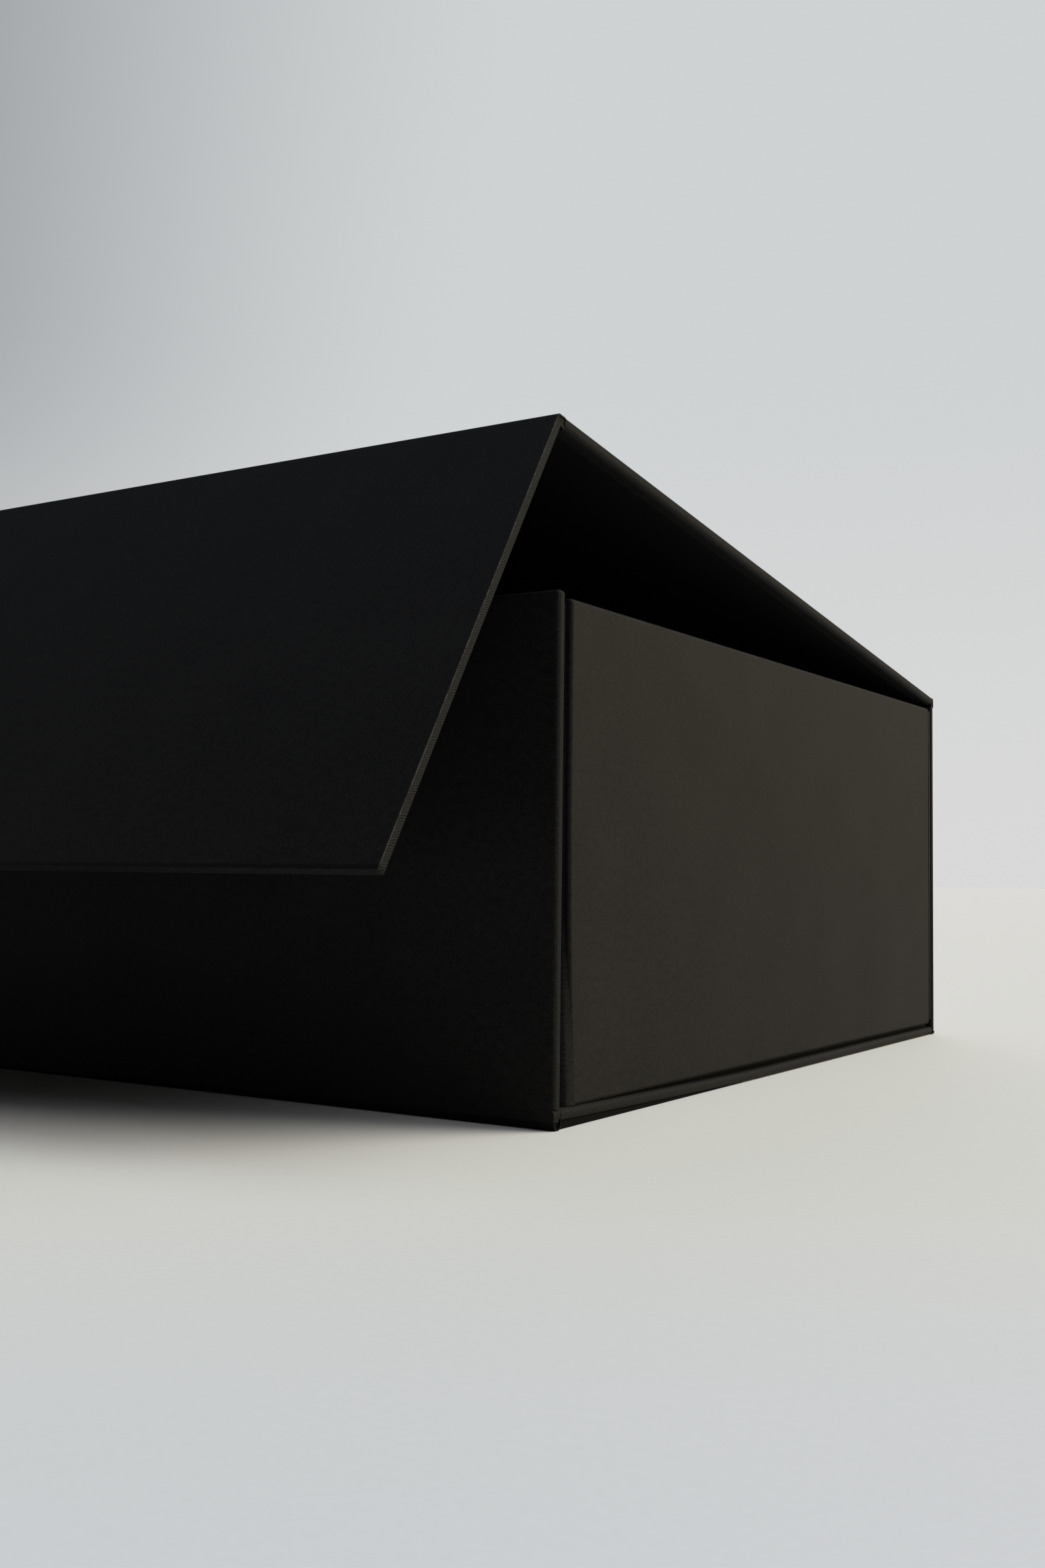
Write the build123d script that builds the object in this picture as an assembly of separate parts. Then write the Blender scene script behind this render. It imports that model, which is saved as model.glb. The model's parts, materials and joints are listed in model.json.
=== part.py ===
"""Folding presentation box with a hinged lid and a magnetic front flap.

Every panel is a greyboard wrapped in dyed paper and lined on its inner face. One outer paper
runs from the flap over the lid, down the back, under the base and up the front, so the panels
are joined by paper alone. The side walls stand inside that case on wings taped to its ends.

Lengths are in millimetres. X runs along the box, +Y points to its back and +Z up. The origin
is the middle of the base's underside. The box stands with its lid a little open.
"""

import os
from math import asin, cos, degrees, radians, sin, sqrt

from build123d import *

# ---------------------------------------------------------------- overall sizes
BOX_WIDTH = 330.0  # length of the case along X
BOX_DEPTH = 228.0  # from the front wall's face to the back wall's face
WALL_TOP = 101.0  # height of the front and back walls' top edges
FLAP_REACH = 102.0  # from the ridge crease to the flap's free edge

LID_OPEN = 7.6  # degrees that the lid stands open
FLAP_OPEN = 24.1  # degrees that the flap stands out from square with the lid

# ---------------------------------------------------------------- sheets
BOARD = 2.0  # greyboard of the panels
WING_BOARD = 1.5  # thinner greyboard of the wings
WRAP = 0.15  # outer paper with its glue
LINER = 0.15  # lining paper with its glue
HINGE_PAPER = 0.3  # outer paper and lining glued together across a fold
TAPE = 0.2  # double-sided tape behind the wings
EDGE_ROUND = 0.6  # outer radius where the paper goes over a board's edge
TURN_IN = 15.0  # paper turned over onto a panel's inner face
MITRE_SLIT = 0.3  # seam where two turn-ins meet at a corner
LINER_INSET = 3.0  # from a panel's free edge to the edge of its lining

# ---------------------------------------------------------------- clearances
LID_GAP = 0.3  # between the closed lid's lining and the walls' top edges
FLAP_GAP = 0.5  # between the closed flap's lining and the front wall's face
FOLD_GAP = 0.15  # between two panels' edges inside a fold
SIDE_DROP = 0.4  # side walls stop this far below the front and back walls
FRONT_INSET = 1.7  # side walls stand this far inside the case's ends at the front
BACK_INSET = 0.4  # and this far at the back, where they toe out
SIDE_LIFT = 4.2  # side walls' lower edges above the surface that the box stands on

# ---------------------------------------------------------------- folds
LID_TO_CREASE = 1.2  # back crease to the lid panel's rear edge
FLAP_TO_CREASE = 1.3  # ridge crease to the flap panel's upper edge
CREASE_ROUND = 0.7  # centre-line radius of the paper at the back crease
RIDGE_ROUND = 0.42  # and at the ridge, which is folded sharper
ROUND_SLACK = 0.01  # keeps a full-round fold's corners just clear of each other
BACK_HEEL = 0.9  # radius of the paper heel under the back wall
FRONT_LIFT = 1.6  # the slack front fold holds the base's front edge up this far
BOW_LENGTH = 66.0  # depth over which the base bends down to lie flat

# ---------------------------------------------------------------- corner wings
FRONT_WEB_DEPTH = 7.6  # from the front wall's face back to the side wall's front end
BACK_WEB_DEPTH = 3.2  # from the back wall's face to the side wall's rear end
WEB_GAP = 0.05  # between a web and the panels that it lies against
WEB_ROUND = 0.7  # centre-line radius where a front web curls
WEB_RUN = 1.3  # a front web runs this far forward before it curls inwards
WEB_DRIFT = 0.5  # and leans this far inwards on the way
WEB_REACH = 3.0  # from the side wall's front end to where the web meets its wing's edge
WING_STEP = 3.2  # from the side wall's face in to a wing's edge
WING_WIDTH = 22.0  # width of a wing on the front or back wall
WING_DROP = 1.0  # wings and webs stop this far below the side wall's top
WING_LIFT = 0.4  # and start this far above the side wall's lower edge
TAPE_WIDTH = 12.0  # width of the tape on a wing
TAPE_END = 4.0  # from a wing's ends to the tape's ends

# ---------------------------------------------------------------- magnetic closure
MAGNET_SPAN = 190.0  # between the two closures
MAGNET_UP = 20.0  # from the flap's free edge to the magnets' centres
MAGNET_RADIUS = 6.0
MAGNET_DEPTH = 1.5
KEEPER_RADIUS = 6.5
KEEPER_DEPTH = 1.0
POCKET_GAP = 0.1  # round a disc in its pocket

# ---------------------------------------------------------------- derived sizes
PANEL = BOARD + 2 * WRAP  # a wrapped board
LINED = PANEL + LINER  # a wrapped board with its lining
HALF_W = BOX_WIDTH / 2
FRONT_Y = -BOX_DEPTH / 2
BACK_Y = BOX_DEPTH / 2

CREASE_Z = WALL_TOP + LID_GAP + LINED  # both creases, with the lid closed
BACK_CREASE = (0, BACK_Y, CREASE_Z)
RIDGE_CREASE = (0, FRONT_Y - FLAP_GAP - LINED, CREASE_Z)
LID_BACK_Y = BACK_Y - LID_TO_CREASE
LID_FRONT_Y = RIDGE_CREASE[1] + LINED + FOLD_GAP
LID_LENGTH = LID_BACK_Y - LID_FRONT_Y
FLAP_TOP_Z = CREASE_Z - FLAP_TO_CREASE
FLAP_LENGTH = FLAP_REACH - FLAP_TO_CREASE
CLOSURE_Z = CREASE_Z - FLAP_REACH + MAGNET_UP

BASE_FRONT_Y = FRONT_Y + LINED + HINGE_PAPER
BASE_BACK_Y = BACK_Y - LINED - FOLD_GAP
FLAT_FROM_Y = BASE_FRONT_Y + BOW_LENGTH
BOW_RADIUS = (BOW_LENGTH**2 + FRONT_LIFT**2) / (2 * FRONT_LIFT)

SIDE_FRONT = (HALF_W - FRONT_INSET, FRONT_Y + FRONT_WEB_DEPTH)
SIDE_BACK = (HALF_W - BACK_INSET, BACK_Y - BACK_WEB_DEPTH)
SIDE_TOP = WALL_TOP - SIDE_DROP
SIDE_HEIGHT = SIDE_TOP - SIDE_LIFT

WING_PANEL = WING_BOARD + 2 * WRAP
WING_FACE_Y = FRONT_Y + LINED + TAPE
WING_BASE = SIDE_LIFT + WING_LIFT
WING_HEIGHT = SIDE_TOP - WING_DROP - WING_BASE


# ---------------------------------------------------------------- helpers
def block(x, y, z):
    """A box between two limits on each axis."""
    size = (x[1] - x[0], y[1] - y[0], z[1] - z[0])
    return Pos(x[0], y[0], z[0]) * Box(*size, align=(Align.MIN, Align.MIN, Align.MIN))


def rounded_plate(x, y, z, radius, sharp_near=False, sharp_far=False):
    """A plate with both faces' edges rounded, apart from those of its folded ends along Y."""
    plate = block(x, y, z)
    edges = plate.edges().filter_by(Axis.Z, reverse=True)
    if sharp_near:
        edges = edges.filter_by(lambda e: abs(e.center().Y - y[0]) > 1e-6)
    if sharp_far:
        edges = edges.filter_by(lambda e: abs(e.center().Y - y[1]) > 1e-6)
    return fillet(edges, radius)


def wrapped_panel(width, length, fold_near=False, fold_far=False):
    """Board, wrap and liner of one flat panel.

    The panel lies centred on X, runs from Y 0 to its length, and has its outer face on Z 0.
    A folded end has no turn-in, since its paper runs on into the fold.
    """
    half = width / 2
    inner = (half - WRAP, length - WRAP)
    board_edge = EDGE_ROUND - WRAP
    outside = rounded_plate((-half, half), (0, length), (0, PANEL), EDGE_ROUND, fold_near, fold_far)
    board_z = (WRAP, WRAP + BOARD)
    board = rounded_plate((-inner[0], inner[0]), (WRAP, inner[1]), board_z, board_edge)

    near = WRAP if fold_near else TURN_IN
    far = length - (WRAP if fold_far else TURN_IN)
    window_x = (TURN_IN - half, half - TURN_IN)
    window = block(window_x, (near, far), (WRAP + BOARD, PANEL))
    wrap = outside - board - window - mitre_slits(half, length, fold_near, fold_far)

    liner_near = 0 if fold_near else LINER_INSET
    liner_far = length - (0 if fold_far else LINER_INSET)
    lining = block((LINER_INSET - half, half - LINER_INSET), (liner_near, liner_far), (PANEL, LINED))
    hollow = block(
        (window_x[0] + LINER, window_x[1] - LINER),
        (near + LINER, far - LINER),
        (WRAP + BOARD + LINER, LINED),
    )
    return board, wrap, lining + window - hollow


def mitre_slits(half, length, fold_near, fold_far):
    """Cutters for the diagonal seams between neighbouring turn-ins."""
    slit = Box(TURN_IN * sqrt(2) - 2 * EDGE_ROUND, MITRE_SLIT, WRAP * 2)
    level = WRAP + BOARD + WRAP
    slits = Part()
    for end_y, folded, inward in ((0, fold_near, 1), (length, fold_far, -1)):
        if not folded:
            for side in (-1, 1):
                middle = (side * (half - TURN_IN / 2), end_y + inward * TURN_IN / 2, level)
                slits += Pos(*middle) * Rot(0, 0, -45 * side * inward) * slit
    return slits


def disc_pocket(x, y, radius, depth):
    """A disc let into a panel's board from its inner face, and the pocket that takes it."""
    top = WRAP + BOARD
    low = (Align.CENTER, Align.CENTER, Align.MAX)
    disc = Pos(x, y, top) * Cylinder(radius, depth, align=low)
    pocket = Pos(x, y, top) * Cylinder(radius + POCKET_GAP, depth, align=low)
    return disc, pocket


def paper_fold(points, radius):
    """Paper across a fold, along the middle of its thickness, the whole length of the case."""
    path = FilletPolyline(*points, radius=radius)
    section = Plane.YZ * trace(path, line_width=HINGE_PAPER)
    return extrude(section, HALF_W, both=True)


def opened(crease, angle):
    """The turn that lifts what hangs on a crease by this many degrees."""
    here = Pos(*crease)
    return here * Rot(-angle, 0, 0) * here.inverse()


def save(name, shape):
    export_step(shape, f"parts/{name}.step")


# ---------------------------------------------------------------- base
def bowed_sheet(section, y):
    """A section across the base, run straight to its back and bent up towards its front.

    The section is drawn with X along the box and Y as the height above the base's underside.
    """
    front, back = y
    upright = Plane((0, FLAT_FROM_Y, 0), x_dir=(1, 0, 0), z_dir=(0, -1, 0)) * section
    bend = degrees(asin((FLAT_FROM_Y - front) / BOW_RADIUS))
    centre = Axis((0, FLAT_FROM_Y, BOW_RADIUS), (-1, 0, 0))
    return extrude(upright, FLAT_FROM_Y - back) + revolve(upright, centre, bend)


def across(half_x, rise, radius=0.0):
    """A strip of a section across the base, between two levels, with its corners rounded."""
    low, high = rise
    size = (2 * half_x, high - low)
    strip = RectangleRounded(*size, radius) if radius else Rectangle(*size)
    return Pos(0, (low + high) / 2) * strip


def make_base():
    """The bowed base panel, with turn-ins along its two ends."""
    full_y = (BASE_FRONT_Y, BASE_BACK_Y)
    board_y = (BASE_FRONT_Y + WRAP, BASE_BACK_Y - WRAP)
    hollow_y = (board_y[0] + LINER, board_y[1] - LINER)
    board_z = (WRAP, WRAP + BOARD)
    window_x = HALF_W - TURN_IN
    board = bowed_sheet(across(HALF_W - WRAP, board_z, EDGE_ROUND - WRAP), board_y)
    outside = bowed_sheet(across(HALF_W, (0, PANEL), EDGE_ROUND), full_y)
    window = bowed_sheet(across(window_x, (WRAP + BOARD, PANEL)), board_y)
    lining = bowed_sheet(across(HALF_W - LINER_INSET, (PANEL, LINED)), full_y)
    hollow = bowed_sheet(across(window_x - LINER, (WRAP + BOARD + LINER, LINED)), hollow_y)
    return board, outside - board - window, lining + window - hollow


# ---------------------------------------------------------------- walls
def make_front_wall():
    """Front wall, standing in front of the base's edge, with the closure's steel discs."""
    height = WALL_TOP - FRONT_LIFT
    board, wrap, liner = wrapped_panel(BOX_WIDTH, height, fold_far=True)
    stand = Plane((0, FRONT_Y, WALL_TOP), x_dir=(1, 0, 0), z_dir=(0, 1, 0))
    keepers = []
    for side in (-1, 1):
        disc, pocket = disc_pocket(
            side * MAGNET_SPAN / 2, WALL_TOP - CLOSURE_Z, KEEPER_RADIUS, KEEPER_DEPTH
        )
        board -= pocket
        keepers.append(stand * disc)
    return stand * board, stand * wrap, stand * liner, keepers


def make_back_wall():
    """Back wall, between the base's fold and the lid's fold."""
    panel = wrapped_panel(BOX_WIDTH, WALL_TOP - BACK_HEEL, fold_near=True, fold_far=True)
    stand = Plane((0, BACK_Y, BACK_HEEL), x_dir=(1, 0, 0), z_dir=(0, -1, 0))
    return [stand * piece for piece in panel]


def make_side_wall():
    """Right-hand side wall, held by its corner webs and toed out a little towards the back."""
    front, back = Vector(*SIDE_FRONT, SIDE_TOP), Vector(*SIDE_BACK, SIDE_TOP)
    along = back - front
    inwards = Vector(-along.Y, along.X, 0)
    panel = wrapped_panel(along.length, SIDE_HEIGHT)
    stand = Plane((front + back) / 2, x_dir=along, z_dir=inwards)
    return [stand * piece for piece in panel]


# ---------------------------------------------------------------- corner webs and wings
def make_front_web():
    """Paper fold from the front end of the right-hand side wall to its wing.

    It carries on forward from the side wall's face, then curls inwards to the wing's edge.
    """
    half = HINGE_PAPER / 2
    start = (SIDE_FRONT[0] - half, SIDE_FRONT[1] - WEB_GAP)
    curl = (start[0] - WEB_DRIFT, start[1] - WEB_RUN)
    fold_x = SIDE_FRONT[0] - WING_STEP + WEB_GAP + half
    path = FilletPolyline(
        start, curl, (fold_x, SIDE_FRONT[1] - WEB_REACH), (fold_x, WING_FACE_Y), radius=WEB_ROUND
    )
    return Pos(0, 0, WING_BASE) * extrude(trace(path, line_width=HINGE_PAPER), WING_HEIGHT)


def make_back_web():
    """Paper fold from the rear end of the right-hand side wall to its wing.

    It lies flat across the end of the side wall, with no room to curl.
    """
    half = HINGE_PAPER / 2
    end_y = SIDE_BACK[1] + WEB_GAP + half
    fold_x = SIDE_BACK[0] - WING_STEP + WEB_GAP + half
    path = Polyline((SIDE_BACK[0], end_y), (fold_x, end_y), (fold_x, -WING_FACE_Y))
    return Pos(0, 0, WING_BASE) * extrude(trace(path, line_width=HINGE_PAPER), WING_HEIGHT)


def make_wing(edge_x):
    """Board, wrap and tape of the wing on the right-hand end of the front wall."""
    x = (edge_x - WING_WIDTH, edge_x)
    y = (WING_FACE_Y, WING_FACE_Y + WING_PANEL)
    z = (WING_BASE, WING_BASE + WING_HEIGHT)
    board = block(*[(low + WRAP, high - WRAP) for low, high in (x, y, z)])
    wrap = block(x, y, z) - board
    middle = edge_x - WING_WIDTH / 2
    tape_x = (middle - TAPE_WIDTH / 2, middle + TAPE_WIDTH / 2)
    tape = block(tape_x, (WING_FACE_Y - TAPE, WING_FACE_Y), (z[0] + TAPE_END, z[1] - TAPE_END))
    return {"wing_board": board, "wing_wrap": wrap, "wing_tape": tape}


# ---------------------------------------------------------------- lid and flap
def make_lid(pose):
    """Lid panel, built closed and then opened."""
    panel = wrapped_panel(BOX_WIDTH, LID_LENGTH, fold_near=True, fold_far=True)
    lie = Plane((0, LID_BACK_Y, CREASE_Z), x_dir=(1, 0, 0), z_dir=(0, 0, -1))
    return [pose * (lie * piece) for piece in panel]


def make_flap(pose):
    """Flap panel with its magnets, built closed and then opened."""
    board, wrap, liner = wrapped_panel(BOX_WIDTH, FLAP_LENGTH, fold_near=True)
    hang = Plane((0, RIDGE_CREASE[1], FLAP_TOP_Z), x_dir=(1, 0, 0), z_dir=(0, 1, 0))
    magnets = []
    for side in (-1, 1):
        disc, pocket = disc_pocket(
            side * MAGNET_SPAN / 2, FLAP_LENGTH - MAGNET_UP, MAGNET_RADIUS, MAGNET_DEPTH
        )
        board -= pocket
        magnets.append(pose * (hang * disc))
    return pose * (hang * board), pose * (hang * wrap), pose * (hang * liner), magnets


# ---------------------------------------------------------------- paper folds of the case
def turned(point, crease, angle):
    """A point of a YZ section after the turn about a crease."""
    y, z = point[0] - crease[1], point[1] - crease[2]
    c, s = cos(radians(angle)), sin(radians(angle))
    return (crease[1] + y * c + z * s, crease[2] - y * s + z * c)


def make_front_fold():
    """Slack fold under the front wall: a half-round bead that the box stands on."""
    half = HINGE_PAPER / 2
    outer, inner = FRONT_Y + half, BASE_FRONT_Y - half
    points = [(outer, FRONT_LIFT), (outer, half), (inner, half), (inner, FRONT_LIFT + BOARD)]
    return paper_fold(points, (inner - outer) / 2 - ROUND_SLACK)


def make_back_fold():
    """Fold under the back wall, round its heel."""
    half = HINGE_PAPER / 2
    outer = BACK_Y - half
    points = [(BASE_BACK_Y, half), (outer, half), (outer, BACK_HEEL)]
    return paper_fold(points, BACK_HEEL - half - ROUND_SLACK)


def make_lid_fold():
    """Fold from the back wall's top over onto the lid."""
    half = HINGE_PAPER / 2
    lid_end = turned((LID_BACK_Y, CREASE_Z - half), BACK_CREASE, LID_OPEN)
    over = turned((BACK_Y, CREASE_Z - half), BACK_CREASE, LID_OPEN)
    slope = radians(LID_OPEN)
    corner_y = BACK_Y - half
    corner_z = over[1] + (over[0] - corner_y) * sin(slope) / cos(slope)
    return paper_fold([(corner_y, WALL_TOP), (corner_y, corner_z), lid_end], CREASE_ROUND)


def make_flap_fold(pose_lid):
    """Fold along the ridge, from the lid's front edge to the flap's upper edge."""
    half = HINGE_PAPER / 2
    ridge_y, ridge_z = RIDGE_CREASE[1], CREASE_Z
    lid_end = (LID_FRONT_Y, ridge_z - half)
    flap_end = turned((ridge_y + half, FLAP_TOP_Z), RIDGE_CREASE, FLAP_OPEN)
    along = turned((ridge_y + half, ridge_z), RIDGE_CREASE, FLAP_OPEN)
    run = (flap_end[0] - along[0], flap_end[1] - along[1])
    t = (ridge_z - half - along[1]) / run[1]
    corner = (along[0] + t * run[0], ridge_z - half)
    return pose_lid * paper_fold([lid_end, corner, flap_end], RIDGE_ROUND)


# ---------------------------------------------------------------- assembly
def main():
    os.makedirs("parts", exist_ok=True)
    lid_pose = opened(BACK_CREASE, LID_OPEN)
    flap_pose = lid_pose * opened(RIDGE_CREASE, FLAP_OPEN)

    for name, piece in zip(("board", "wrap", "liner"), make_base()):
        save(f"base_{name}", piece)
    *front, keepers = make_front_wall()
    for name, piece in zip(("board", "wrap", "liner"), front):
        save(f"front_{name}", piece)
    for name, piece in zip(("board", "wrap", "liner"), make_back_wall()):
        save(f"back_{name}", piece)
    for name, piece in zip(("board", "wrap", "liner"), make_lid(lid_pose)):
        save(f"lid_{name}", piece)
    *flap, magnets = make_flap(flap_pose)
    for name, piece in zip(("board", "wrap", "liner"), flap):
        save(f"flap_{name}", piece)
    for hand, disc, magnet in zip(("left", "right"), keepers, magnets):
        save(f"keeper_disc_{hand}", disc)
        save(f"flap_magnet_{hand}", magnet)

    for name, piece in zip(("board", "wrap", "liner"), make_side_wall()):
        save(f"side_{name}_right", piece)
        save(f"side_{name}_left", mirror(piece, about=Plane.YZ))

    front_wing = make_wing(SIDE_FRONT[0] - WING_STEP)
    back_wing = {
        name: mirror(piece, about=Plane.XZ)
        for name, piece in make_wing(SIDE_BACK[0] - WING_STEP).items()
    }
    corners = {
        "front": {"corner_web": make_front_web(), **front_wing},
        "back": {"corner_web": make_back_web(), **back_wing},
    }
    for end, pieces in corners.items():
        for name, piece in pieces.items():
            save(f"{name}_{end}_right", piece)
            save(f"{name}_{end}_left", mirror(piece, about=Plane.YZ))

    save("fold_front_base", make_front_fold())
    save("fold_base_back", make_back_fold())
    save("fold_back_lid", make_lid_fold())
    save("fold_lid_flap", make_flap_fold(lid_pose))


main()
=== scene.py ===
# %% [markdown]
# # A black folding presentation box
# A stationer's box of greyboard and dyed paper, standing with its lid a little open. The measured
# model comes in as a fixed frame. Each cell below makes one thing: the camera, the sheets of paper
# that show, their finishes, the floor and the light.

# %% Load the frame
import json
from math import acos, cos, pi, radians, sin, tan

import bmesh
import bpy
from mathutils import Matrix, Vector


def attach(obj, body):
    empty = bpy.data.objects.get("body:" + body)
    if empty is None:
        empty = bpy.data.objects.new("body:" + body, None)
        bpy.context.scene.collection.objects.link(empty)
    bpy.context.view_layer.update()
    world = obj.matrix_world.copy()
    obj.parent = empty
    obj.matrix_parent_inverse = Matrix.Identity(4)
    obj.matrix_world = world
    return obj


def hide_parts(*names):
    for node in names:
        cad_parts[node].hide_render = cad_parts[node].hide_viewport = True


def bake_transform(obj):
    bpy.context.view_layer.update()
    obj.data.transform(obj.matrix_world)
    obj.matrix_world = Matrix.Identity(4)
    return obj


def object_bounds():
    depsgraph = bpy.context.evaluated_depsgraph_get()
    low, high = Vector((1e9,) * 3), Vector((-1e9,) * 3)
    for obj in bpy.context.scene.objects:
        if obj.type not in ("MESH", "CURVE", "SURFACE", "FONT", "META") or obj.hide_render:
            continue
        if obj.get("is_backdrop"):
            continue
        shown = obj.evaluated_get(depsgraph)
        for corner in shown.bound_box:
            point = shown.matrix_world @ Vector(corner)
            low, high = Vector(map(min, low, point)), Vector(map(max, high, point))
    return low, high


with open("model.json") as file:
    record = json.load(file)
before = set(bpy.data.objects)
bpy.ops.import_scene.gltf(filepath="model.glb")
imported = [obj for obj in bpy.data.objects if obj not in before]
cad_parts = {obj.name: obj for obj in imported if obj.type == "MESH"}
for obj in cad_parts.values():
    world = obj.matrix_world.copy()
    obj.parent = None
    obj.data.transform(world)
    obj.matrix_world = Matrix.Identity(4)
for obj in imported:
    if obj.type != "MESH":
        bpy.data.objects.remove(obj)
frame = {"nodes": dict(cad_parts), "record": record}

cad_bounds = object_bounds()


def mm(*lengths):
    """Lengths in metres as rounded millimetres, for printing."""
    return [round(length * 1000, 2) for length in lengths]


print("The box as measured, in mm:", [mm(*corner) for corner in cad_bounds])

# %% [markdown]
# ## Where the creases are
# The lid turns on a crease along the top of the back wall, and the flap on one along the ridge.
# Both come from the frame's joints, and the angles that they stand open at rest are the lower ends
# of the joints' ranges. Knowing them, any piece can be shaped as if the box were shut and then
# swung open, which is far easier than shaping it at a slant.

# %% The two creases
joints = {joint["name"]: joint for joint in frame["record"]["behaviour"]["joints"]}
LID_OPEN = -joints["lid_hinge"]["range_deg"][0]
FLAP_OPEN = -joints["flap_hinge"]["range_deg"][0]
back_crease = Vector(joints["lid_hinge"]["pos_m"])
ridge_at_rest = Vector(joints["flap_hinge"]["pos_m"])


def swing(crease, degrees):
    """The turn that lifts what hangs on a crease along X."""
    there = Matrix.Translation(crease)
    return there @ Matrix.Rotation(-radians(degrees), 4, "X") @ there.inverted()


ridge_crease = swing(back_crease, -LID_OPEN) @ ridge_at_rest
lid_pose = swing(back_crease, LID_OPEN)
flap_pose = lid_pose @ swing(ridge_crease, FLAP_OPEN)
print("Lid open", LID_OPEN, "flap open", FLAP_OPEN, "ridge when shut, in mm:", mm(*ridge_crease))

# %% Measure a node after turning it back
def shut_box(node, pose=Matrix.Identity(4)):
    """Lowest and highest corners of a measured piece, once its pose is undone."""
    back = pose.inverted()
    corners = [back @ vertex.co for vertex in frame["nodes"][node].data.vertices]
    low = Vector([min(c[axis] for c in corners) for axis in range(3)])
    high = Vector([max(c[axis] for c in corners) for axis in range(3)])
    return low, high


front_low, front_high = shut_box("front_wrap")
back_low, back_high = shut_box("back_wrap")
base_low, base_high = shut_box("base_wrap")
side_low, side_high = shut_box("side_wrap_right")
lid_low, lid_high = shut_box("lid_wrap", lid_pose)
flap_low, flap_high = shut_box("flap_wrap", flap_pose)
HALF_W = front_high.x
PANEL = front_high.y - front_low.y
print("Wrapped board, in mm:", mm(PANEL), "lid's depth:", mm(lid_high.y - lid_low.y))

# %% [markdown]
# ## The camera
# It stands low and close, at the front right corner, so that the ridge and the top edge of the side
# wall run to clearly different vanishing points. A camera is placed most surely from three turns:
# round the upright, then up, then a slight roll about the line of sight.

# %% Camera
CAMERA_PLACE = (0.3128, -0.3609, 0.0469)
YAW, PITCH, ROLL = 32.203, 3.42, 0.703  # degrees
lens = bpy.data.cameras.new("camera")
lens.sensor_fit = "VERTICAL"
lens.sensor_height = 36.0
lens.lens = 35.49
lens.clip_start = 0.01
camera = bpy.data.objects.new("camera", lens)
bpy.context.scene.collection.objects.link(camera)
aim = (
    Matrix.Rotation(radians(YAW), 4, "Z")
    @ Matrix.Rotation(radians(90 + PITCH), 4, "X")
    @ Matrix.Rotation(radians(ROLL), 4, "Z")
)
camera.matrix_world = Matrix.Translation(CAMERA_PLACE) @ aim
bpy.context.scene.camera = camera
print("Camera at, in mm:", mm(*camera.location), "with a", round(lens.lens, 2), "mm lens")

# %% [markdown]
# ## A few helpers for shaping by hand
# The operators below act on what is selected, as they do under the mouse. So one helper makes a
# piece the only thing selected, and another picks faces or edges by where they lie. The rest cut
# straight through a piece, turn its faces outwards and apply a modifier.

# %% Selecting
def work_on(piece):
    """Leaves this piece alone selected and active."""
    bpy.ops.object.select_all(action="DESELECT")
    piece.select_set(True)
    bpy.context.view_layer.objects.active = piece


def pick(piece, kind, rule):
    """In edit mode, selects the faces or edges that a rule accepts and returns how many."""
    bpy.ops.mesh.select_mode(type=kind)
    bpy.ops.mesh.select_all(action="DESELECT")
    mesh = bmesh.from_edit_mesh(piece.data)
    found = [part for part in (mesh.faces if kind == "FACE" else mesh.edges) if rule(part)]
    for part in found:
        part.select_set(True)
    mesh.select_flush_mode()
    bmesh.update_edit_mesh(piece.data)
    return len(found)


def centre(part):
    """The middle of a face or an edge."""
    return sum((corner.co for corner in part.verts), Vector()) / len(part.verts)

# %% Cutting, facing outwards and modifying
def cut(piece, point, normal):
    """In edit mode, a straight cut all the way round a piece."""
    bpy.ops.mesh.select_all(action="SELECT")
    bpy.ops.mesh.bisect(plane_co=point, plane_no=normal)


def face_outwards(piece):
    """Turns the faces of a closed piece to the outside."""
    work_on(piece)
    bpy.ops.object.mode_set(mode="EDIT")
    bpy.ops.mesh.select_all(action="SELECT")
    bpy.ops.mesh.normals_make_consistent(inside=False)
    bpy.ops.object.mode_set(mode="OBJECT")


def finish_modifier(piece, kind, **settings):
    """Adds a modifier, sets it and applies it."""
    work_on(piece)
    modifier = piece.modifiers.new(kind.title(), kind)
    for name, value in settings.items():
        setattr(modifier, name, value)
    bpy.ops.object.modifier_apply(modifier=modifier.name)

# %% [markdown]
# ## Wrapped boards
# Every panel is a greyboard with paper drawn round it. The paper covers the outer face, rolls over
# the edges and is turned in some 15 mm on the inner face. It could be a box with a bevel, but the
# paper's fold lines are what make it read as wrapped. So the plate is cut where the turned-in paper
# stops, the middle of the inner face is let down by a paper's thickness, and only the edges that
# the paper rolls over are rounded. An end where the paper runs on into a fold keeps its square
# edge. Handling makes most boards nearly half-round at their edges, and a few are crisp outside and
# soft inside, so each edge carries a bevel weight, and one Bevel modifier rolls the outer and the
# inner edges by their own radii.

# %% Sheet sizes
WRAP = 0.00015  # outer paper with its glue
TURN_IN = 0.015  # paper turned over onto the inner face
EDGE_ROUND = 0.00095  # radius where the paper rolls over the edge of a board that is handled
CRISP_EDGE = 0.0003  # the same where the board is hardly touched
CLOSE = 1e-7  # lengths nearer to each other than this are the same
print("Paper, turn-in and rolled edge, in mm:", mm(WRAP, TURN_IN, EDGE_ROUND))

# %% Rolling the edges
def same(a, b):
    """Whether two lengths are the same."""
    return abs(a - b) < CLOSE


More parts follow.
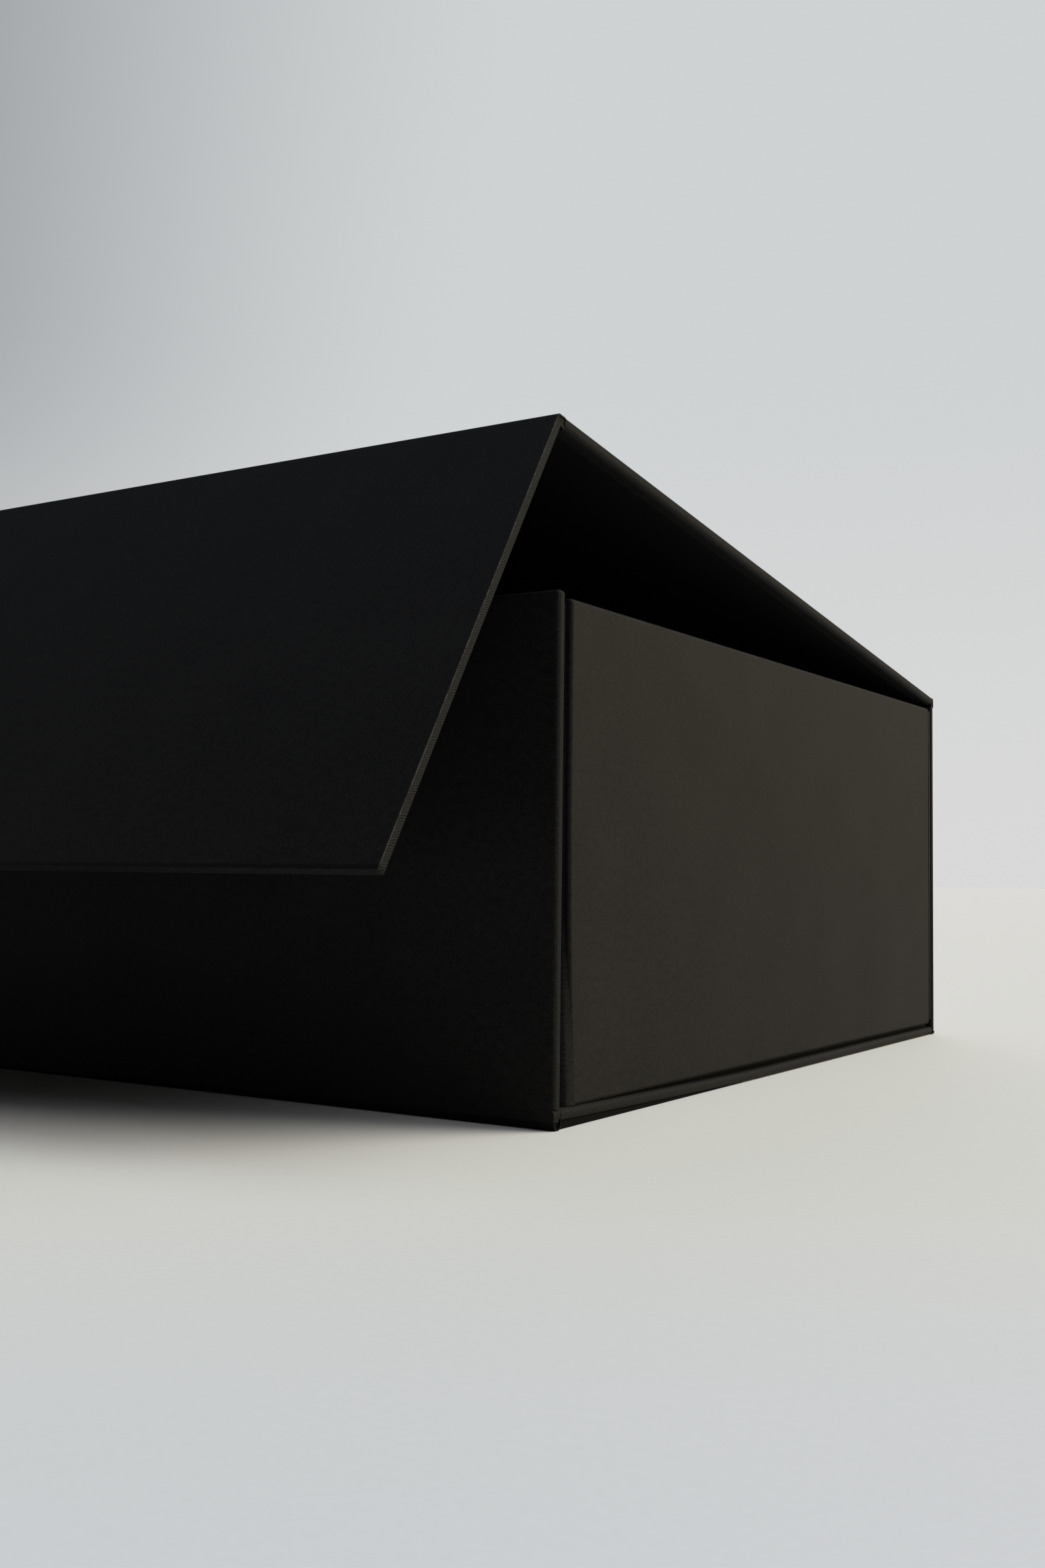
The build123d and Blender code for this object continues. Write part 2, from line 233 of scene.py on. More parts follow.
def roll_edges(piece, half, free_ends, outer, inner):
    """In edit mode, rounds a plate's sides and free ends, its outer and inner edges by radii."""

    def rolled(edge, outside):
        a, b = (corner.co for corner in edge.verts)
        on_side = same(a.x, b.x) and same(abs(a.x), half)
        on_end = any(same(a.y, y) and same(b.y, y) for y in free_ends)
        on_face = same(a.z, b.z) and (a.z < CLOSE if outside else a.z > PANEL - CLOSE)
        return (on_face and (on_side or on_end)) or (outside and on_side and on_end)

    widest = max(outer, inner)
    count = pick(piece, "EDGE", lambda edge: rolled(edge, True))
    bpy.ops.transform.edge_bevelweight(value=outer / widest)
    count += pick(piece, "EDGE", lambda edge: rolled(edge, False))
    bpy.ops.transform.edge_bevelweight(value=inner / widest)
    bpy.ops.object.mode_set(mode="OBJECT")
    finish_modifier(piece, "BEVEL", limit_method="WEIGHT", width=widest, segments=6, profile=0.5)
    return count

# %% A wrapped board
def wrapped_board(
    name, width, length, fold_near=False, fold_far=False, cuts=(), noses=0.0,
    outer=EDGE_ROUND, inner=EDGE_ROUND,
):
    """A plate on the XY plane from Y 0 to its length, outer face down, with its paper turned in.

    Outer and inner are the radii of its edges. Noses carry the two near corners forward.
    """
    half = width / 2
    bpy.ops.object.select_all(action="DESELECT")
    bpy.ops.mesh.primitive_cube_add(
        size=1, location=(0, length / 2, PANEL / 2), scale=(width, length, PANEL)
    )
    piece = bpy.context.object
    piece.name = name
    bpy.ops.object.transform_apply(location=True, rotation=True, scale=True)
    bpy.ops.object.mode_set(mode="EDIT")
    near = WRAP if fold_near else TURN_IN
    far = length - (WRAP if fold_far else TURN_IN)
    for x in (TURN_IN - half, half - TURN_IN):
        cut(piece, (x, 0, 0), (1, 0, 0))
    for y in (near, far, *cuts):
        cut(piece, (0, y, 0), (0, 1, 0))

    def in_window(face):
        middle = centre(face)
        between = abs(middle.x) < half - TURN_IN and near < middle.y < far
        return between and middle.z > PANEL - 10 * CLOSE

    def at_nose(face):
        middle = centre(face)
        return middle.y < CLOSE and abs(middle.x) > half - TURN_IN

    pick(piece, "FACE", in_window)
    bpy.ops.mesh.extrude_region_move(TRANSFORM_OT_translate={"value": (0, 0, -WRAP)})
    if noses:
        pick(piece, "FACE", at_nose)
        bpy.ops.mesh.extrude_region_move(TRANSFORM_OT_translate={"value": (0, -noses, 0)})
    free_ends = [y for y, folded in ((0, fold_near), (length, fold_far)) if not folded]
    rounded = roll_edges(piece, half, free_ends, outer, inner)
    face_outwards(piece)
    print(name, "edges rolled over:", rounded, "faces:", len(piece.data.polygons))
    return piece

# %% [markdown]
# ## Laying the paper out flat
# The paper's texture has a direction, so each panel carries a map of the flat sheet, in metres. On
# the rolled edges the map carries on round the corner, as the paper does. The inner faces get the
# same map one metre further on, which lets a finish tell the inside of a panel from its outside.

# %% The sheet map
INSIDE = 1.0  # how much further on the inner face's map lies


def lay_sheet(piece):
    """Writes the flat sheet's coordinates into a UV map."""
    sheet = piece.data.uv_layers.new(name="sheet")
    for face in piece.data.polygons:
        n = face.normal
        for loop in face.loop_indices:
            x, y, z = piece.data.vertices[piece.data.loops[loop].vertex_index].co
            if abs(n.x) > max(abs(n.y), abs(n.z)):
                u, v = x + (z if n.x > 0 else -z), y
            elif abs(n.y) > abs(n.z):
                u, v = x, y + (z if n.y > 0 else -z)
            else:
                u, v = x, y + (INSIDE if n.z > 0.5 else 0.0)
            sheet.data[loop].uv = (u, v)


def set_down(piece, pose, body, *nodes):
    """Moves a flat panel to its place on the box and lets it ride there."""
    lay_sheet(piece)
    piece.data.transform(pose)
    work_on(piece)
    bpy.ops.object.shade_smooth_by_angle(angle=radians(35))
    finish_modifier(piece, "WEIGHTED_NORMAL", keep_sharp=True, weight=100)
    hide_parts(*nodes)
    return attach(piece, body)


def facing(x_axis, y_axis, z_axis, origin):
    """The move that stands a flat panel up on these three directions."""
    turn = Matrix((x_axis, y_axis, z_axis)).transposed().to_4x4()
    return Matrix.Translation(origin) @ turn

# %% [markdown]
# ## The front and back walls
# The front wall's top edge is free and its foot runs into the slack fold below. At the two ends of
# the foot the wall stands on the base's corners and is cut back a little, more above than below.
# The back wall is folded at both ends: under the base and over onto the lid. A panel drawn here
# stands for the measured board as well as for its paper, since its softer corners would let the
# board's show.

# %% Front wall
NOTCH = (0.0007, 0.0001)  # how far the foot's two ends are cut back, above and below
NOTCH_STEP = 0.0001  # half the height over which the cut begins
BESIDE_EDGE = 0.0015  # what lies nearer to a side than this is part of its edge


def mix(first, second, share):
    """The first value at a share of 0, the second at 1, and evenly between."""
    return first * (1 - share) + second * share


front_place = facing((1, 0, 0), (0, 0, -1), (0, 1, 0), (0, front_low.y, front_high.z))
front_height = front_high.z - front_low.z
notch_top = front_height - PANEL - NOTCH_STEP
front = wrapped_board(
    "front_paper", 2 * HALF_W, front_height,
    fold_far=True, cuts=(notch_top, notch_top + 2 * NOTCH_STEP), inner=0.0005,
)
for vertex in front.data.vertices:
    if vertex.co.y > notch_top + NOTCH_STEP and abs(vertex.co.x) > HALF_W - BESIDE_EDGE:
        down_notch = (vertex.co.y - notch_top) / (front_height - notch_top)
        vertex.co.x *= 1 - mix(*NOTCH, down_notch) / HALF_W
set_down(front, front_place, "box", "front_wrap", "front_board")

# %% Back wall
back_place = facing((1, 0, 0), (0, 0, 1), (0, -1, 0), (0, back_high.y, back_low.z))
back_height = back_high.z - back_low.z
back = wrapped_board("back_paper", 2 * HALF_W, back_height, fold_near=True, fold_far=True)
set_down(back, back_place, "box", "back_wrap", "back_board")

# %% [markdown]
# ## The side walls
# Each stands on its own inside the case, wrapped on all four edges. They toe out a little towards
# the back, so their direction is read from the two ends of the measured wall's flat outer face.
# Their feet are not cut quite square: the wrapped foot hangs a little lower at the back than at the
# front. The outer paper is slack low down and bellies out until, at the foot, it is over the base's
# edge. On the inner side the foot comes down to the base's lining, so no light passes under the
# wall.

# %% Where a side wall stands
CUT_ROUND = 0.0006  # radius of the measured boards' edges
BELLY = 0.060  # height over which the outer paper leaves the board
BELLY_INSET = 0.0005  # how far inside the base's edge the paper ends
outer_face = [
    frame["nodes"]["side_wrap_right"].data.vertices[corner].co
    for face in frame["nodes"]["side_wrap_right"].data.polygons
    if face.normal.x > 0.999
    for corner in face.vertices
]
near_point = min(outer_face, key=lambda point: point.y)
far_point = max(outer_face, key=lambda point: point.y)
along = Vector((far_point.x - near_point.x, far_point.y - near_point.y, 0))
side_length = along.length + 2 * CUT_ROUND
side_height = side_high.z - side_low.z
along.normalize()
side_front = Vector((near_point.x, near_point.y, side_high.z)) - along * CUT_ROUND
side_middle = side_front + along * (side_length / 2)
belly_front = HALF_W - BELLY_INSET - side_front.x
belly_back = HALF_W - BELLY_INSET - (side_front + along * side_length).x
print("Slack at the foot, front and back, in mm:", mm(belly_front, belly_back))

# %% Side walls
FOOT_DROP = (0.0006, 0.00105)  # how far the foot hangs below the measured one, front and back
INNER_DROP = side_low.z - PANEL - WRAP  # the same on the inner side, down to the base's lining
BELLY_CUTS = 8


def side_board(name, back_end):
    """A side wall with its slack and its foot, and its back end at -1 or 1 along its length."""
    heights = [side_height - BELLY * step / BELLY_CUTS for step in range(BELLY_CUTS, 0, -1)]
    piece = wrapped_board(name, side_length, side_height, cuts=heights)
    for vertex in piece.data.vertices:
        to_back = 0.5 + back_end * vertex.co.x / side_length
        low = max(0.0, 1 - (side_height - vertex.co.y) / BELLY)
        outside = vertex.co.z < PANEL / 2
        if outside:
            vertex.co.z -= low**2 * mix(belly_front, belly_back, to_back)
        if vertex.co.y > side_height / 2:
            vertex.co.y += mix(*FOOT_DROP, to_back) if outside else INNER_DROP
    return piece


down = Vector((0, 0, -1))
right_place = facing(along, down, along.cross(down), side_middle)
right_side = side_board("right_side_paper", 1)
set_down(right_side, right_place, "box", "side_wrap_right", "side_board_right")
to_front = Vector((along.x, -along.y, 0))
left_middle = (-side_middle.x, side_middle.y, side_middle.z)
left_place = facing(to_front, down, to_front.cross(down), left_middle)
left_side = side_board("left_side_paper", -1)
set_down(left_side, left_place, "box", "side_wrap_left", "side_board_left")
print("Side walls' length and front end, in mm:", mm(side_length), mm(*side_front))

# %% [markdown]
# ## The lid and the flap
# Both are shaped flat and then swung open about their creases. Their outer edges are still crisp.
# The flap is trimmed by a hair, so that its crisp corner doesn't reach past the measured one's
# rounding.

# %% Lid and flap
FLAP_TRIM = 0.00025
lid_place = lid_pose @ facing((1, 0, 0), (0, -1, 0), (0, 0, -1), (0, lid_high.y, lid_high.z))
lid_depth = lid_high.y - lid_low.y
lid = wrapped_board(
    "lid_paper", 2 * HALF_W, lid_depth,
    fold_near=True, fold_far=True, outer=CRISP_EDGE, inner=0.0012,
)
set_down(lid, lid_place, "lid", "lid_wrap", "lid_board")
flap_place = flap_pose @ facing((1, 0, 0), (0, 0, -1), (0, 1, 0), (0, flap_low.y, flap_high.z))
flap_length = flap_high.z - flap_low.z - FLAP_TRIM
flap = wrapped_board(
    "flap_paper", 2 * HALF_W, flap_length, fold_near=True, outer=CRISP_EDGE, inner=0.0008
)
set_down(flap, flap_place, "flap", "flap_wrap", "flap_board")

# %% [markdown]
# ## The base
# The base is folded at its front and back ends and turned in along its two sides. The slack fold
# lifts its front edge, so it rises from the table over its front 92 mm. Extra cuts across the plate
# give it somewhere to bend. At both ends its board reaches forward under the front wall's corner,
# as a nose.

# %% Base, bent up towards its front
BOW_LENGTH = 0.092
BOW_CUTS = 12
FRONT_LIFT = front_low.z
NOSE_GAP = 0.00002  # between a nose and the front wall's outer face
base_length = base_high.y - base_low.y
nose_length = base_low.y - front_low.y - NOSE_GAP
bends = [BOW_LENGTH * step / BOW_CUTS for step in range(1, BOW_CUTS + 1)]


def within(value):
    """The value, kept between 0 and 1."""
    return min(1.0, max(0.0, value))


def bow_height(y):
    """How far the base is off the table at this distance from its front edge."""
    return FRONT_LIFT * within(1 - y / BOW_LENGTH) ** 1.3


def bow(piece):
    """Lifts the front of a flat sheet, which starts at Y 0, off the table."""
    for vertex in piece.data.vertices:
        vertex.co.z += bow_height(vertex.co.y)


base = wrapped_board(
    "base_paper", 2 * HALF_W, base_length,
    fold_near=True, fold_far=True, cuts=bends, noses=nose_length,
)
bow(base)
base_place = Matrix.Translation((0, base_low.y, 0))
set_down(base, base_place, "box", "base_wrap", "base_board")

# %% [markdown]
# ## The base's lining
# A plain sheet glued inside, a little short of the case's two sides. It bends with the base, so it
# is a flat grid cut at the same places, thickened and lifted by the same rule.

# %% Base lining
LINING = 0.00015


def flat_sheet(name, width, start, end, height, cuts):
    """A plane across the box from one Y to another, cut at some more and thickened upwards."""
    bpy.ops.object.select_all(action="DESELECT")
    bpy.ops.mesh.primitive_plane_add(size=1, location=(0, (start + end) / 2, height))
    sheet = bpy.context.object
    sheet.name = name
    sheet.scale = (width, end - start, 1)
    bpy.ops.object.transform_apply(location=True, rotation=True, scale=True)
    bpy.ops.object.mode_set(mode="EDIT")
    for y in cuts:
        cut(sheet, (0, y, 0), (0, 1, 0))
    bpy.ops.object.mode_set(mode="OBJECT")
    finish_modifier(sheet, "SOLIDIFY", thickness=LINING, offset=1.0)
    return sheet


liner_half = shut_box("base_liner")[1].x
base_lining = flat_sheet("base_lining", 2 * liner_half, 0, base_length, PANEL, bends)
bow(base_lining)
set_down(base_lining, base_place, "box", "base_liner")
print("Base lining", len(base_lining.data.polygons), "faces")

# %% [markdown]
# ## Paper folds
# Between two panels there is paper alone: the outer paper and the lining, glued together. A fold is
# drawn as one edge along the box, pushed out step by step round the bend, and then given its
# thickness. Real paper is never quite even, so a fold can also be cut across and its cuts moved
# before it is thickened.

# %% Points round a bend
HINGE_PAPER = 0.0003
FOLD_HALF = HINGE_PAPER / 2


def bend_points(start, corner, end, radius, steps=8):
    """Points of a run from start to end that goes round a corner on an arc."""
    into, out = (corner - start).normalized(), (end - corner).normalized()
    turn = acos(max(-1.0, min(1.0, into.dot(out))))
    room_left = 0.9 * min((corner - start).length, (end - corner).length)
    reach = min(radius * tan(turn / 2), room_left)
    first, last = corner - into * reach, corner + out * reach
    arc = []
    for step in range(steps + 1):
        t = step / steps
        arc.append(first * (1 - t) ** 2 + corner * (2 * t * (1 - t)) + last * t * t)
    return [start, *arc, end]

# %% A fold from a row of points
def paper_strip(name, points, half_width, cuts=0, slack=None):
    """Paper bent along a row of points in the YZ plane and running along X.

    A slack rule takes a point's place along the strip and its number in the row, and gives the
    shift.
    """
    first = points[0]
    bpy.ops.object.select_all(action="DESELECT")
    bpy.ops.mesh.primitive_plane_add(
        size=2 * half_width, location=(0, first.y + half_width, first.z)
    )
    piece = bpy.context.object
    piece.name = name
    bpy.ops.object.transform_apply(location=True, rotation=True, scale=True)
    bpy.ops.object.mode_set(mode="EDIT")
    pick(piece, "EDGE", lambda edge: centre(edge).y > first.y + 1.5 * half_width)
    bpy.ops.mesh.delete(type="VERT")
    bpy.ops.mesh.select_all(action="SELECT")
    for here, there in zip(points, points[1:]):
        bpy.ops.mesh.extrude_edges_move(TRANSFORM_OT_translate={"value": there - here})
    for step in range(1, cuts + 1):
        cut(piece, (half_width * (2 * step / (cuts + 1) - 1), 0, 0), (1, 0, 0))
    bpy.ops.object.mode_set(mode="OBJECT")
    if slack:
        for vertex in piece.data.vertices:
            place = vertex.co.copy()
            flat = Vector((0, place.y, place.z))
            number = min(range(len(points)), key=lambda i: (points[i] - flat).length)
            vertex.co = place + slack(place.x, number)
    finish_modifier(piece, "SOLIDIFY", thickness=HINGE_PAPER, offset=0.0, use_even_offset=True)
    face_outwards(piece)
    bpy.ops.object.shade_smooth_by_angle(angle=radians(50))
    print(name, "bends over", len(points), "points,", len(piece.data.polygons), "faces")
    return piece


def strip_sheet(piece):
    """Flat sheet coordinates for a fold: along the box, and round the bend by height and depth."""
    sheet = piece.data.uv_layers.new(name="sheet")
    for loop in piece.data.loops:
        x, y, z = piece.data.vertices[loop.vertex_index].co
        sheet.data[loop.index].uv = (x, y - z)

# %% [markdown]
# ## The ridge
# The paper leaves the lid's front edge, turns sharply over the ridge and comes down onto the flap.

# %% Ridge fold
RIDGE_ROUND = 0.0006
lid_end = lid_pose @ Vector((0, lid_low.y, lid_high.z - FOLD_HALF))
flap_end = flap_pose @ Vector((0, flap_low.y + FOLD_HALF, flap_high.z))
lid_along = (lid_pose.to_3x3() @ Vector((0, -1, 0))).normalized()
flap_along = (flap_pose.to_3x3() @ Vector((0, 0, 1))).normalized()
across = flap_end - lid_end
det = lid_along.y * -flap_along.z + flap_along.y * lid_along.z
run = (across.y * -flap_along.z + flap_along.y * across.z) / det
ridge_corner = lid_end + lid_along * run
ridge_bend = bend_points(lid_end, ridge_corner, flap_end, RIDGE_ROUND)
ridge = paper_strip("ridge_paper", ridge_bend, HALF_W, cuts=5)
strip_sheet(ridge)
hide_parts("fold_lid_flap")
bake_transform(ridge)

# %% [markdown]
# ## The back fold of the lid
# Here the paper comes up from the back wall and turns forward onto the lid.

# %% Back fold
BACK_ROUND = 0.0009
wall_end = Vector((0, back_high.y - FOLD_HALF, back_high.z))
lid_back = lid_pose @ Vector((0, lid_high.y, lid_high.z - FOLD_HALF))
lid_behind = lid_pose @ Vector((0, back_high.y, lid_high.z - FOLD_HALF))
slope = (lid_back.z - lid_behind.z) / (lid_back.y - lid_behind.y)
back_corner = Vector((0, wall_end.y, lid_back.z + slope * (wall_end.y - lid_back.y)))
back_bend = bend_points(wall_end, back_corner, lid_back, BACK_ROUND)
back_fold = paper_strip("back_crease_paper", back_bend, HALF_W)
strip_sheet(back_fold)
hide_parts("fold_back_lid")
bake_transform(back_fold)

# %% [markdown]
# ## The closed ends of the folds
# At both ends of a fold the paper is turned in, so the fold isn't an open tube: a small tab of
# paper closes it. A tab is a flat outline with as many corners as the fold has points, drawn as a
# filled ring, laid onto those points and pushed in to a thickness.

# %% A tab
TAB = 0.0006


def fold_tab(name, outline, x):
    """Closes a fold's end at this X with a flat tab of an outline in the YZ plane."""
    bpy.ops.object.select_all(action="DESELECT")
    bpy.ops.mesh.primitive_circle_add(vertices=len(outline), radius=0.001, fill_type="NGON")
    tab = bpy.context.object
    tab.name = name
    for vertex, point in zip(tab.data.vertices, outline):
        vertex.co = (x, point.y, point.z)
    bpy.ops.object.mode_set(mode="EDIT")
    bpy.ops.mesh.select_all(action="SELECT")
    inwards = (-TAB if x > 0 else TAB, 0, 0)
    bpy.ops.mesh.extrude_region_move(TRANSFORM_OT_translate={"value": inwards})
    bpy.ops.object.mode_set(mode="OBJECT")
    face_outwards(tab)
    strip_sheet(tab)
    return tab

# %% Tabs at the ends of the ridge and of the back fold
BACK_TAB_X = HALF_W - 0.00005
RIDGE_TAB_X = BACK_TAB_X * 0.999
TAB_INSET = 0.0003  # a step along each tab's two edges, worked out but not used to shape it
lid_inner = lid_pose @ Vector((0, lid_low.y, lid_high.z - PANEL))
flap_inner = flap_pose @ Vector((0, flap_low.y + PANEL, flap_high.z))
wall_inner = Vector((0, back_high.y - PANEL, back_high.z))
lid_back_inner = lid_pose @ Vector((0, lid_high.y, lid_high.z - PANEL))
tabs = []
for side, sign in (("right", 1), ("left", -1)):
    ridge_outline = ridge_bend + [flap_inner, lid_inner]
    tab = fold_tab(f"ridge_tab_{side}", ridge_outline, sign * RIDGE_TAB_X)
    lid_middle, flap_middle = (lid_end + lid_inner) / 2, (flap_end + flap_inner) / 2
    step = (flap_middle - lid_middle).normalized() * TAB_INSET
    lid_middle + step
    flap_middle - step
    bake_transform(tab)
    tabs.append(tab)
    back_outline = back_bend + [lid_back_inner, wall_inner]
    tab = fold_tab(f"back_tab_{side}", back_outline, sign * BACK_TAB_X)
    wall_middle, lid_middle = (wall_end + wall_inner) / 2, (lid_back + lid_back_inner) / 2
    step = (lid_middle - wall_middle).normalized() * TAB_INSET
    wall_middle + step
    lid_middle - step
    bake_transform(tab)
    tabs.append(tab)
print("Tabs:", [tab.name for tab in tabs])

# %% [markdown]
# ## The slack fold under the front wall
# The box stands on this bead of loose paper. It rolls under from the wall's face to the base's
# edge. The fold is slackest at the right-hand corner, where the whole bead shows under the wall.
# Further left the face runs on almost to the table before it turns under.

# %% The bead's section
BEAD_STEPS = 14
BEAD_REACH = 0.8  # how far up the base's edge the fold is glued, as a share of the board
bead_low, bead_high = shut_box("fold_front_base")
outer_y, inner_y = bead_low.y + FOLD_HALF, bead_high.y - FOLD_HALF
bead_round = (inner_y - outer_y) / 2
bead_middle = (inner_y + outer_y) / 2
bead = [Vector((0, outer_y, front_low.z))]
for step in range(BEAD_STEPS + 1):
    angle = pi * step / BEAD_STEPS
    height = FOLD_HALF + bead_round * (1 - sin(angle))
    bead.append(Vector((0, bead_middle - bead_round * cos(angle), height)))
bead.append(Vector((0, inner_y, base_low.z + FRONT_LIFT + PANEL * BEAD_REACH)))
print("Bead's radius, in mm:", mm(bead_round))

# %% Front bead
SHOULDER_DROP = 0.0009  # how far the bead's outer shoulder comes down at the left


def bead_slack(x, number):
    """Sharpens the bead's shoulder towards the left, and lets it swell here and there."""
    if number in (0, len(bead) - 1):
        return Vector()
    place = bead[number]
    left = within((HALF_W * 0.9 - x) / (HALF_W * 1.1))
    shoulder = max(0.0, (bead_middle - place.y) / bead_round)
    swell = 0.00005 * sin(x * 61.0) + 0.00004 * sin(x * 143.0 + 1.0)
    drop = min(place.z - FOLD_HALF, SHOULDER_DROP * left * shoulder)
    return Vector((0, -swell * shoulder, -drop))


front_fold = paper_strip("front_fold_paper", bead, HALF_W, cuts=47, slack=bead_slack)
strip_sheet(front_fold)
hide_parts("fold_front_base")
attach(front_fold, "box")

# %% Tabs at the ends of the bead
BEAD_TAB_X = HALF_W - 0.0004
bead_tabs = []
for side, sign in (("right", 1), ("left", -1)):
    tab = fold_tab(f"bead_tab_{side}", bead, sign * BEAD_TAB_X)
    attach(tab, "box")
    bead_tabs.append(tab)
print("Tabs:", [tab.name for tab in bead_tabs])

# %% [markdown]
# ## A dark sheet under the base, as painted shade
# Behind the bead the base is off the table until it comes down to it, and the gap under it lies in
# deep shade. A near-black sheet fills that gap, its edge a little way in from the base's, as
# painted shade for the dark wedge that shows there. So it is a plain plane, cut across and
# thickened, whose upper side then rises to follow the base.

# %% Painted shade under the base
WEDGE_CUTS = 12
WEDGE_X = HALF_W - 0.0006
WEDGE_CLEARANCE = 0.00005
wedge_front, wedge_back = bead_middle, base_low.y + 0.9 * BOW_LENGTH
wedge_depth = wedge_back - wedge_front
wedge_bends = [wedge_front + wedge_depth * step / WEDGE_CUTS for step in range(1, WEDGE_CUTS)]
# A dark sheet that fills the shaded gap under the lifted base: painted shade.
shade_wedge = flat_sheet("shade_wedge_paper", 2 * WEDGE_X, wedge_front, wedge_back, 0, wedge_bends)
for vertex in shade_wedge.data.vertices:
    if vertex.co.z > LINING / 2:
        under_base = bow_height(vertex.co.y - base_low.y) - WEDGE_CLEARANCE
        vertex.co.z = max(LINING, under_base)
strip_sheet(shade_wedge)
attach(shade_wedge, "box")
print("Slack paper's depth, in mm:", mm(wedge_depth))

# %% [markdown]
# ## The corner webs
# The paper of a side wall runs on past its front end, curls inwards and ends on the wing that is
# taped behind the front wall. It is one curl near the table and another above: at its foot the
# paper carries on with the wall and then drops away, and higher up it turns in sharply at once.
# Drawn like the other folds but lying along the wall's height, it is then stood up on its end.

# %% Two curls of a web
WEB_DROP = 0.0007  # how far the web hangs below the measured one
WEB_RETURN = 0.0009  # how far past its swell a web turns in to the wing
SWELL_ROUND, RETURN_ROUND = 0.0012, 0.0008
web_low, web_high = shut_box("corner_web_front_right")
web_low.z -= WEB_DROP
web_height = web_high.z - web_low.z
wall_edge = Vector((0, side_front.x - FOLD_HALF, side_front.y + EDGE_ROUND))
wing_edge = Vector((0, web_low.x + FOLD_HALF, web_low.y))


def web_curve(first_lean, first_run, second_lean, second_run):
    """Points of a web in plan: from the wall's face along two short runs, then to the wing."""
    dip = wall_edge + Vector((0, -first_lean, -first_run - EDGE_ROUND))
    swell = dip + Vector((0, -second_lean, -second_run))
    turn_in = Vector((0, wing_edge.y, swell.z - WEB_RETURN))
    first = bend_points(wall_edge, dip, swell, SWELL_ROUND, steps=5)
    return first[:-1] + bend_points(swell, turn_in, wing_edge, RETURN_ROUND, steps=5)


web_foot = web_curve(first_lean=0.0003, first_run=0.0017, second_lean=0.0009, second_run=0.0008)
web_top = web_curve(first_lean=0.0014, first_run=0.0001, second_lean=0.0011, second_run=0.0005)
print("Web's height, in mm:", mm(web_height), "points in plan:", len(web_foot))

# %% Front corner webs
def web_slack(x, number):
    """Carries the foot's curl over into the top's, a little wavy, and follows the belly."""
    last = len(web_foot) - 1
    low = max(0.0, 1 - (x + web_height / 2) / BELLY)
    out = belly_front * low**2 * (1 - number / last)
    t = within(2.5 * (x / web_height + 0.5))
    t = t * t * (3 - 2 * t)
    wave = 0.00006 * sin(x * 95.0) * (0 < number < last)
    return (web_top[number] - web_foot[number]) * t + Vector((0, wave + out, 0))


def corner_web(name, node, turn):
    """One web, stood up at the front right corner and turned over for the left."""
    web = paper_strip(name, web_foot, web_height / 2, cuts=15, slack=web_slack)
    strip_sheet(web)
    web_middle = (web_low.z + web_high.z) / 2
    stand_up = Matrix(((0, 1, 0, 0), (0, 0, 1, 0), (1, 0, 0, web_middle), (0, 0, 0, 1)))
    web.data.transform(turn @ stand_up)
    if turn.determinant() < 0:
        web.data.flip_normals()
    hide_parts(node)
    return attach(web, "box")


right_web = corner_web("right_web_paper", "corner_web_front_right", Matrix.Identity(4))
mirror = Matrix.Diagonal((-1, 1, 1, 1))
left_web = corner_web("left_web_paper", "corner_web_front_left", mirror)

# %% [markdown]
# ## Finishes
# A finish is a small net of shader nodes. Written node by node it is long and hard to read, so two
# classes do the wiring: one lets a socket take part in ordinary sums, and the other holds a
# material and adds any node from its type, its settings and its inputs.

# %% Sums on sockets
class Amount:
    """A number that varies over a surface."""

    def __init__(self, finish, socket):
        self.finish, self.socket = finish, socket

    def _sum(self, operation, first, second=0.0):
        return self.finish.node("ShaderNodeMath", {"operation": operation}, {0: first, 1: second})

    def __add__(self, other): return self._sum("ADD", self, other)
    def __radd__(self, other): return self._sum("ADD", other, self)
    def __sub__(self, other): return self._sum("SUBTRACT", self, other)
    def __rsub__(self, other): return self._sum("SUBTRACT", other, self)
    def __mul__(self, other): return self._sum("MULTIPLY", self, other)
    def __gt__(self, other): return self._sum("GREATER_THAN", self, other)
    def __lt__(self, other): return self._sum("LESS_THAN", self, other)
    def __abs__(self): return self._sum("ABSOLUTE", self)
    def smaller(self, other): return self._sum("MINIMUM", self, other)
    def larger(self, other): return self._sum("MAXIMUM", self, other)
    def wave(self): return self._sum("SINE", self)

    def rise(self, low, high):
        """0 below low, 1 above high, and a soft step between."""
        return self.finish.node(
            "ShaderNodeMapRange",
            {"interpolation_type": "SMOOTHSTEP"},
            {"Value": self, "From Min": low, "From Max": high},
        )

